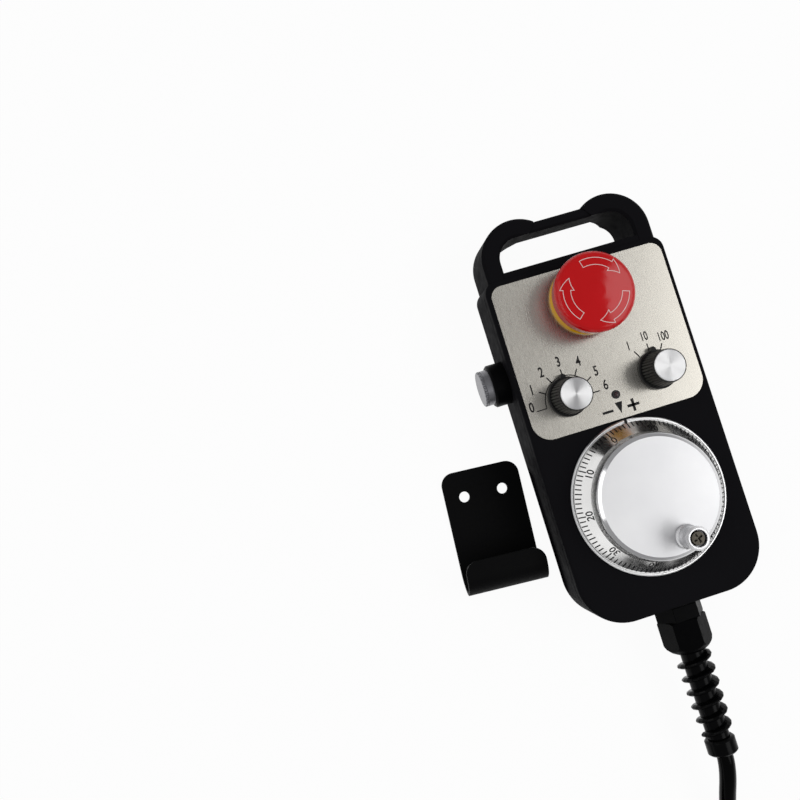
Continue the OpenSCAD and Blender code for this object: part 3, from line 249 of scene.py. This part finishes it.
steel = Mat("ground_steel", (0.6, 0.6, 0.61), 0.26, 1.0)
steel.rough(steel.noise(700), 0.2, 0.34).edge(0.0002)
# Painted shade: the crank screw sits down in the grip's counterbore and is given a far darker metal
# than the other screws, for the shade it sits in
shaded_screw_m = Mat("screw_painted_shade", (0.08, 0.073, 0.06), 0.14, 1.0)
shaded_screw_m.rough(shaded_screw_m.noise(1200), 0.12, 0.2).edge(0.0004)
screw_m = Mat("screw_zinc", (0.5, 0.49, 0.47), 0.32, 1.0)
screw_m.rough(screw_m.noise(1200), 0.24, 0.42).edge(0.00015)
spring_m = Mat("spring_wire", (0.45, 0.45, 0.47), 0.3, 1.0)
spring_m.bump(spring_m.noise(1.0, (30, 30, 1500), detail=0), 0.8, 0.0003)

knob_m = Mat("knob_black", (0.004, 0.004, 0.0044), 0.36, Specular_IOR_Level=0.25)
knob_m.rough(knob_m.noise(600), 0.34, 0.46).edge(0.0002)

inner_m = Mat("inner_black", (0.03, 0.03, 0.032), 0.45)
inner_m.rough(inner_m.noise(500), 0.38, 0.52).edge(0.0003)

red = Mat("stop_red", (0.56, 0.001, 0.003), 0.09, Specular_IOR_Level=0.36)
red.colour(red.noise(45, detail=3), (0.54, 0.0005, 0.002), (0.58, 0.001, 0.004))
red.rough(red.noise(120, detail=2), 0.09, 0.13).edge(0.0015)

yellow = Mat("collar_yellow", (0.72, 0.37, 0.005), 0.25)
yellow.colour(yellow.noise(90, detail=3), (0.68, 0.34, 0.004), (0.75, 0.4, 0.006)).edge(0.0003)

button = Mat("button_grey", (0.24, 0.24, 0.255), 0.3, 0.85)
button.rough(button.noise(900), 0.26, 0.4).edge(0.0002)

lens = Mat("lamp_lens", (0.035, 0.01, 0.013), 0.12, Coat_Weight=0.4, Coat_Roughness=0.03)
lens.colour(lens.noise(900, detail=1), (0.025, 0.007, 0.01), (0.045, 0.012, 0.015))
lamp_m = Mat("lamp_rim", (0.012, 0.011, 0.012), 0.28, Specular_IOR_Level=0.5)
lamp_m.rough(lamp_m.noise(1500), 0.22, 0.36)

phenolic = Mat("switch_phenolic", (0.22, 0.13, 0.06), 0.5)
phenolic.colour(phenolic.noise(260, detail=4), (0.19, 0.11, 0.05), (0.26, 0.16, 0.08))
ivory = Mat("contact_ivory", (0.7, 0.66, 0.55), 0.45)
ivory.rough(ivory.noise(300), 0.4, 0.52).edge(0.0003)
board = Mat("board_green", (0.03, 0.17, 0.07), 0.35)
board.colour(board.noise(420, (1, 3, 1), detail=1), (0.024, 0.14, 0.055), (0.045, 0.22, 0.09))
block = Mat("terminal_block", (0.06, 0.28, 0.12), 0.4)
block.rough(block.noise(400), 0.34, 0.5).edge(0.0003)
code = Mat("code_metal", (0.3, 0.3, 0.32), 0.3, 1.0)
code.rough(code.noise(800), 0.24, 0.4)

nylon = Mat("gland_nylon", (0.002, 0.002, 0.0023), 0.3, Specular_IOR_Level=0.03)
nylon.rough(nylon.noise(380, detail=3), 0.26, 0.42).edge(0.0006)
nylon.bump(nylon.noise(1800, detail=1), 0.12, 0.00005)
relief = Mat("relief_rubber", (0.0016, 0.0016, 0.0018), 0.2, Specular_IOR_Level=0.07)
relief.rough(relief.noise(420), 0.14, 0.24).edge(0.0006)
pvc = Mat("cable_pvc", (0.0009, 0.0009, 0.0009), 0.14, Specular_IOR_Level=0.07)
pvc.rough(pvc.noise(160, detail=3), 0.11, 0.19)
pvc.bump(pvc.noise(700, detail=2), 0.08, 0.0001)
tie_m = Mat("tie_nylon", (0.012, 0.012, 0.0125), 0.4, Specular_IOR_Level=0.3)
tie_m.bump(tie_m.noise(1.0, (40, 1400, 40), detail=0), 0.4, 0.0002)
hood_m = Mat("hood_plastic", (0.014, 0.014, 0.016), 0.45, Specular_IOR_Level=0.3)
hood_m.rough(hood_m.noise(600), 0.38, 0.54).edge(0.0008)
tin = Mat("connector_tin", (0.62, 0.62, 0.63), 0.28, 1.0)
tin.rough(tin.noise(700), 0.2, 0.36).edge(0.0003)
ink = Mat("print_black", (0.006, 0.006, 0.0065), 0.5, Specular_IOR_Level=0.2)
ink.rough(ink.noise(2500), 0.42, 0.58)
white_ink = Mat("print_white", (0.8, 0.62, 0.6), 0.4)
white_ink.rough(white_ink.noise(2500), 0.34, 0.48)

# Fine turning on the knobs' tops: bright and dark sectors of a brushed face
tops = {}
for name in ("axis_knob_top", "multiplier_knob_top"):
    t = Mat(name + "_turned", (0.97, 0.97, 0.97), 0.44, 1.0, Anisotropic=1.0,
            Anisotropic_Rotation=0.25)
    tan = t.node("ShaderNodeTangent", direction_type="RADIAL", axis="Z")
    t.link(tan.outputs[0], t.b.inputs["Tangent"])
    t.edge(0.00025)
    tops[name] = t

use = {
    "front_shell": black, "rear_shell": black, "shell_gasket": gasket_m, "case_screws": screw_m,
    "panel_plate": plate, "bezel_ring": bezel_m, "bezel_screws": screw_m,
    "encoder_housing": inner_m, "encoder_bearings": steel, "encoder_board": board,
    "encoder_terminals": block, "wheel_shaft": steel, "code_disc": code, "scale_ring": scale_m,
    "wheel_disc": satin, "crank_screw": shaded_screw_m, "crank_grip": grip_m,
    "axis_knob": knob_m, "axis_shaft": steel, "axis_switch": phenolic, "axis_nut": steel,
    "multiplier_knob": knob_m, "multiplier_shaft": steel, "multiplier_switch": phenolic,
    "multiplier_nut": steel, "stop_cap": red, "stop_stem": inner_m, "stop_barrel": inner_m,
    "stop_collar": yellow, "stop_nut": inner_m, "stop_contacts": ivory, "stop_spring": spring_m,
    "lamp_rim": lamp_m, "lamp_lens": lens, "enable_cap": button, "enable_collar": nylon,
    "enable_nut": inner_m, "enable_spring": spring_m, "enable_contacts": ivory,
    "gland_body": nylon, "gland_washer": gasket_m, "gland_locknut": nylon, "gland_nut": nylon,
    "gland_grommet": gasket_m, "relief_core": relief, "relief_spiral": relief,
    "relief_cap": relief, "wiring_board": board, "wiring_terminals": block,
    "cable_lead": pvc, "cable_coil": pvc, "cable_tail": pvc, "cable_tie": tie_m,
    "connector_hood": hood_m, "connector_shell": tin, "connector_screws": screw_m,
    "hanger_bracket": bracket_m,
}
use.update(tops)
for name, ob in nodes.items():
    mats = ob.data.materials
    if len(mats) == 0:
        mats.append(use[name].m)
    for i in range(len(mats)):
        mats[i] = use[name].m

cable.data.materials.append(pvc.m)
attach(cable, "case")
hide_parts("cable_lead", "cable_coil", "cable_tail")


# ------------------------------------------------------------------ printing
def glyphs(text, size, bold=0.0):
    """Flat outline mesh of a word, centred, in millimetres."""
    c = bpy.data.curves.new("t", "FONT")
    c.body = text
    c.size = size
    c.align_x = "CENTER"
    c.align_y = "CENTER"
    c.offset = bold
    c.resolution_u = 4
    o = bpy.data.objects.new("t", c)
    bpy.context.collection.objects.link(o)
    bpy.context.view_layer.update()
    me = bpy.data.meshes.new_from_object(o.evaluated_get(bpy.context.evaluated_depsgraph_get()))
    vs = [v.co.copy() for v in me.vertices]
    fs = [tuple(p.vertices) for p in me.polygons]
    bpy.data.objects.remove(o)
    bpy.data.meshes.remove(me)
    if vs:
        cx = (min(v.x for v in vs) + max(v.x for v in vs)) / 2
        cy = (min(v.y for v in vs) + max(v.y for v in vs)) / 2
        vs = [Vector((v.x - cx, v.y - cy, 0)) for v in vs]
    return vs, fs


class Print:
    """Collects flat marks in millimetres, and lays each on the object through a mapping."""

    def __init__(self):
        self.v, self.f = [], []

    def put(self, vs, fs, fn):
        n = len(self.v)
        self.v += [fn(v) for v in vs]
        self.f += [tuple(n + i for i in f) for f in fs]

    def text(self, word, size, fn, bold=0.0, sx=1.0):
        vs, fs = glyphs(word, size, bold)
        self.put([Vector((v.x * sx, v.y, 0)) for v in vs], fs, fn)

    def line(self, pts, width, fn, closed=False):
        """A strip of even width along points, mitred at its corners."""
        n = len(pts)
        vs, fs = [], []
        for i in range(n):
            a = Vector(pts[(i - 1) % n] if closed or i else pts[0])
            b = Vector(pts[(i + 1) % n] if closed or i < n - 1 else pts[-1])
            p = Vector(pts[i])
            if closed or 0 < i < n - 1:
                d0 = (p - a).normalized()
                d1 = (b - p).normalized()
            else:
                d0 = d1 = (b - a).normalized()
            m0 = Vector((-d0.y, d0.x))
            m1 = Vector((-d1.y, d1.x))
            m = (m0 + m1).normalized()
            m /= max(0.5, m.dot(m0))
            vs += [(*(p + m * width / 2), 0), (*(p - m * width / 2), 0)]
        for i in range(n if closed else n - 1):
            j = (i + 1) % n
            fs.append((2 * i, 2 * i + 1, 2 * j + 1, 2 * j))
        self.put([Vector(v) for v in vs], fs, fn)

    def make(self, name, mat, body, slot):
        ob = add_mesh(name, [v * MM for v in self.v], self.f)
        bm = bmesh.new()
        bm.from_mesh(ob.data)
        bmesh.ops.recalc_face_normals(bm, faces=bm.faces)
        bm.to_mesh(ob.data)
        bm.free()
        ob.data.materials.append(mat.m)
        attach(ob, body)


INK = 0.02  # how far print stands off the plate
PLATE_Z = 36.2 + INK


def flat(x, y):
    """Maps marks to the panel plate, round the given place."""
    return lambda v: Vector((x + v[0], y + v[1], PLATE_Z))


def polar(cx, cy, r, a):
    """Point at angle a in degrees and distance r from a centre."""
    return (cx + r * math.cos(math.radians(a)), cy + r * math.sin(math.radians(a)))


def arc(cx, cy, r, a0, a1, n):
    return [polar(cx, cy, r, a0 + (a1 - a0) * i / n) for i in range(n + 1)]


# The printed scales stand a little off the knobs' axes, as the plate's print does
LEFT = (-23.6, 57.8)
RIGHT = (23.6, 58.6)
TICK_IN, TICK_OUT, LABEL_R = 12.6, 16.3, 20.0
TICK_W, ARC_W = 0.62, 0.5
STEP = 30  # degrees from one place of a selector to the next
here = flat(0, 0)
p = Print()
p.line(arc(*LEFT, TICK_IN, 184, 0, 48), ARC_W, here)
p.line([polar(*LEFT, TICK_IN, 184), polar(*LEFT, 18.0, 183)], ARC_W, here)
RAISED = {0: 1.8, 6: 2.2}  # the outer two labels stand higher than the rest
for i in range(7):
    a = 180 - STEP * i
    if i:
        p.line([polar(*LEFT, r, a) for r in (TICK_IN, TICK_OUT)], TICK_W, here)
    x, y = polar(*LEFT, LABEL_R, a)
    p.text(str(i), 7.2, flat(x, y + RAISED.get(i, 0.3)), bold=0.15, sx=0.7)
for i, word in enumerate(("1", "10", "100")):
    a = 120 - STEP * i
    p.line([polar(*RIGHT, r, a) for r in (TICK_IN - 1.4, TICK_OUT - 1)], TICK_W, here)
    x, y = polar(*RIGHT, LABEL_R - 0.6, a)
    p.text(word, 6.5, flat(x, y), bold=0.13, sx=0.64)
# Minus, triangle and plus over the wheel
MARK_Y, PLUS_X, PLUS_HALF = 46.1, 7.1, 3.2
MINUS_W, PLUS_W = 1.25, 1.45
p.line([(-9.6, MARK_Y), (-3.8, MARK_Y)], MINUS_W, here)
p.line([(PLUS_X - PLUS_HALF, MARK_Y), (PLUS_X + PLUS_HALF, MARK_Y)], PLUS_W, here)
p.line([(PLUS_X, MARK_Y - PLUS_HALF), (PLUS_X, MARK_Y + PLUS_HALF)], PLUS_W, here)
p.put([Vector((-2, 49.6, 0)), Vector((2, 49.6, 0)), Vector((0, 43.6, 0))], [(0, 2, 1)], here)
p.make("plate_print", ink, "case", "knob_black")

# Scale on the wheel's cone, measured up the slope from its foot
FOOT_R, FOOT_Z = 38.5, 37.9
TOP_R, TOP_Z = 32.2, 46.0
SLOPE = math.hypot(FOOT_R - TOP_R, TOP_Z - FOOT_Z)
NR, NZ = (TOP_Z - FOOT_Z) / SLOPE, (FOOT_R - TOP_R) / SLOPE
CONE_INK = 0.03
ZERO = 108.0  # where the scale's 0 stands, in degrees
MARKS = 100
MARK_STEP = 360 / MARKS


def on_cone(angle):
    """Maps (sideways, outwards from mid-slope) to the cone at that angle."""
    def fn(v):
        s = SLOPE / 2 - v[1]
        r = FOOT_R - (FOOT_R - TOP_R) * s / SLOPE + NR * CONE_INK
        z = FOOT_Z + (TOP_Z - FOOT_Z) * s / SLOPE + NZ * CONE_INK
        a = math.radians(angle) - v[0] / r
        return Vector((r * math.cos(a), r * math.sin(a), z))
    return fn


NUMERAL_IN = 2.45  # numerals stand this far inside mid-slope
foot = SLOPE / 2 - 0.35
p = Print()
for i in range(MARKS):
    at = on_cone(ZERO + MARK_STEP * i)
    length = 4.9 if i % 10 == 0 else 4.5 if i % 5 == 0 else 3.9
    p.line([(0, foot), (0, foot - length / 2), (0, foot - length)], TICK_W, at)
for i in range(0, MARKS, 10):
    at = on_cone(ZERO + MARK_STEP * i)
    p.text(str(i), 6.3, lambda v: at((v[0], v[1] - NUMERAL_IN)), bold=0.09, sx=0.8)
p.make("scale_print", ink, "handwheel", "knob_black")

# Index on the bezel, over the notch
INDEX_HALF, INDEX_IN, INDEX_OUT, INDEX_Z = 0.75, 37.9, 40.3, 38.05
p = Print()
p.put([Vector((-INDEX_HALF, INDEX_IN, 0)), Vector((INDEX_HALF, INDEX_IN, 0)),
       Vector((INDEX_HALF, INDEX_OUT, 0)), Vector((-INDEX_HALF, INDEX_OUT, 0))],
      [(0, 1, 2, 3)], lambda v: Vector((v[0], v[1], INDEX_Z)))
p.make("bezel_index", ink, "case", "knob_black")

# Three outlined arrows on the mushroom head
STOP_Y, CAP_Z = 105.0, 58.0
DOME_R, DOME_H, DOME_RINGS = 17.4, 1.6, 4  # the head's domed face, and its facets
RIM_R = 3.0  # the rounding outside it
HEAD_INK = 0.05


def dome(v):
    """Maps marks to the head's domed face and its rounded rim."""
    r = math.hypot(v[0], v[1])
    base = CAP_Z - DOME_H
    knots = [(DOME_R * (1 - i / DOME_RINGS), DOME_H * math.sin(math.pi / 2 * i / DOME_RINGS))
             for i in range(DOME_RINGS, -1, -1)]
    for (r0, z0), (r1, z1) in zip(knots, knots[1:]):
        if r0 <= r <= r1:
            z = base + z0 + (z1 - z0) * (r - r0) / (r1 - r0)
    if r > DOME_R:
        z = base - RIM_R + math.sqrt(RIM_R ** 2 - min(r - DOME_R, 2.9) ** 2)
    return Vector((v[0], STOP_Y + v[1], z + HEAD_INK))


TAIL_A, NECK_A, TIP_A = 103, 44, 20  # the arrow's ends and the foot of its head, in degrees
SHAFT_IN, SHAFT_OUT, BARB_IN, BARB_OUT, TIP_R = 12.9, 16.6, 11.2, 18.2, 14.8


def barb(start, end):
    """Five points from one place to another, given as (radius, angle), without the first."""
    return [polar(0, 0, start[0] + (end[0] - start[0]) * j / 5,
                  start[1] + (end[1] - start[1]) * j / 5) for j in range(1, 6)]


p = Print()
for turn in (0, 120, 240):
    tail, neck, tip = TAIL_A + turn, NECK_A + turn, TIP_A + turn
    outline = (arc(0, 0, SHAFT_OUT, tail, neck, 20) + [polar(0, 0, BARB_OUT, neck)]
               + barb((BARB_OUT, neck), (TIP_R, tip)) + barb((TIP_R, tip), (BARB_IN, neck))
               + arc(0, 0, SHAFT_IN, neck, tail, 20))
    p.line(outline, 0.32, dome, closed=True)
p.make("stop_arrows", white_ink, "stop_head", "stop_red")

# ------------------------------------------------------------------ stage and light
# The floor is white to the camera and in reflections, and what is left over takes the shadow
FLOOR_WHITE = 0.95
bpy.ops.mesh.primitive_plane_add(size=6, location=(0, 0, -0.0002))
floor = bpy.context.object
floor.name = "floor"
fm = bpy.data.materials.new("floor")
fm.use_nodes = True
t = fm.node_tree
t.nodes.clear()
out = t.nodes.new("ShaderNodeOutputMaterial")
mix = t.nodes.new("ShaderNodeMixShader")
dif = t.nodes.new("ShaderNodeBsdfDiffuse")
emi = t.nodes.new("ShaderNodeEmission")
lp = t.nodes.new("ShaderNodeLightPath")
mul = t.nodes.new("ShaderNodeMath")
mul.operation = "MULTIPLY"
mul.inputs[1].default_value = FLOOR_WHITE
dif.inputs["Color"].default_value = (0.86, 0.86, 0.86, 1)
emi.inputs["Color"].default_value = (1, 1, 1, 1)
emi.inputs["Strength"].default_value = 1.0
ray = lp.outputs["Is Camera Ray"]
for kind in ("Is Glossy Ray", "Is Transmission Ray"):
    add = t.nodes.new("ShaderNodeMath")
    add.operation = "MAXIMUM"
    t.links.new(ray, add.inputs[0])
    t.links.new(lp.outputs[kind], add.inputs[1])
    ray = add.outputs[0]
t.links.new(ray, mul.inputs[0])
t.links.new(mul.outputs[0], mix.inputs[0])
t.links.new(dif.outputs[0], mix.inputs[1])
t.links.new(emi.outputs[0], mix.inputs[2])
t.links.new(mix.outputs[0], out.inputs[0])
floor.data.materials.append(fm)

# The world is bright at the horizon and dimmer overhead, for every kind of ray
world = bpy.data.worlds.new("world")
bpy.context.scene.world = world
world.use_nodes = True
wt = world.node_tree
bg = wt.nodes["Background"]
tc = wt.nodes.new("ShaderNodeTexCoord")
sep = wt.nodes.new("ShaderNodeSeparateXYZ")
ramp = wt.nodes.new("ShaderNodeValToRGB")
wt.links.new(tc.outputs["Generated"], sep.inputs[0])
wt.links.new(sep.outputs["Z"], ramp.inputs["Fac"])
ramp.color_ramp.elements[0].position = 0.0
ramp.color_ramp.elements[0].color = (0.9, 0.9, 0.9, 1)
ramp.color_ramp.elements[1].position = 0.24
ramp.color_ramp.elements[1].color = (0.33, 0.33, 0.335, 1)
wt.links.new(ramp.outputs["Color"], bg.inputs["Color"])
bg.inputs["Strength"].default_value = 1.0


# Two softboxes, one on each side of the camera's view, aimed at the middle of the object and set
# upright along the case as the photograph shows it
AIM = Vector((0, 0.04, 0))
UPRIGHT = Vector((0.285, 0.955, 0))


def softbox(name, loc, width, height, radiance):
    d = bpy.data.lights.new(name, "AREA")
    d.shape = "RECTANGLE"
    d.size, d.size_y = width, height
    d.energy = radiance * math.pi * width * height
    o = bpy.data.objects.new(name, d)
    bpy.context.collection.objects.link(o)
    back = (Vector(loc) - AIM).normalized()
    side = UPRIGHT.cross(back).normalized()
    o.matrix_world = Matrix((side, back.cross(side), back)).transposed().to_4x4()
    o.location = loc


softbox("softbox_right", (0.66, -0.12, 0.9), 0.6, 1.1, 2.4)
softbox("softbox_left", (-0.75, 0.25, 0.85), 0.6, 1.1, 1.4)

bpy.context.scene.view_settings.view_transform = "Standard"
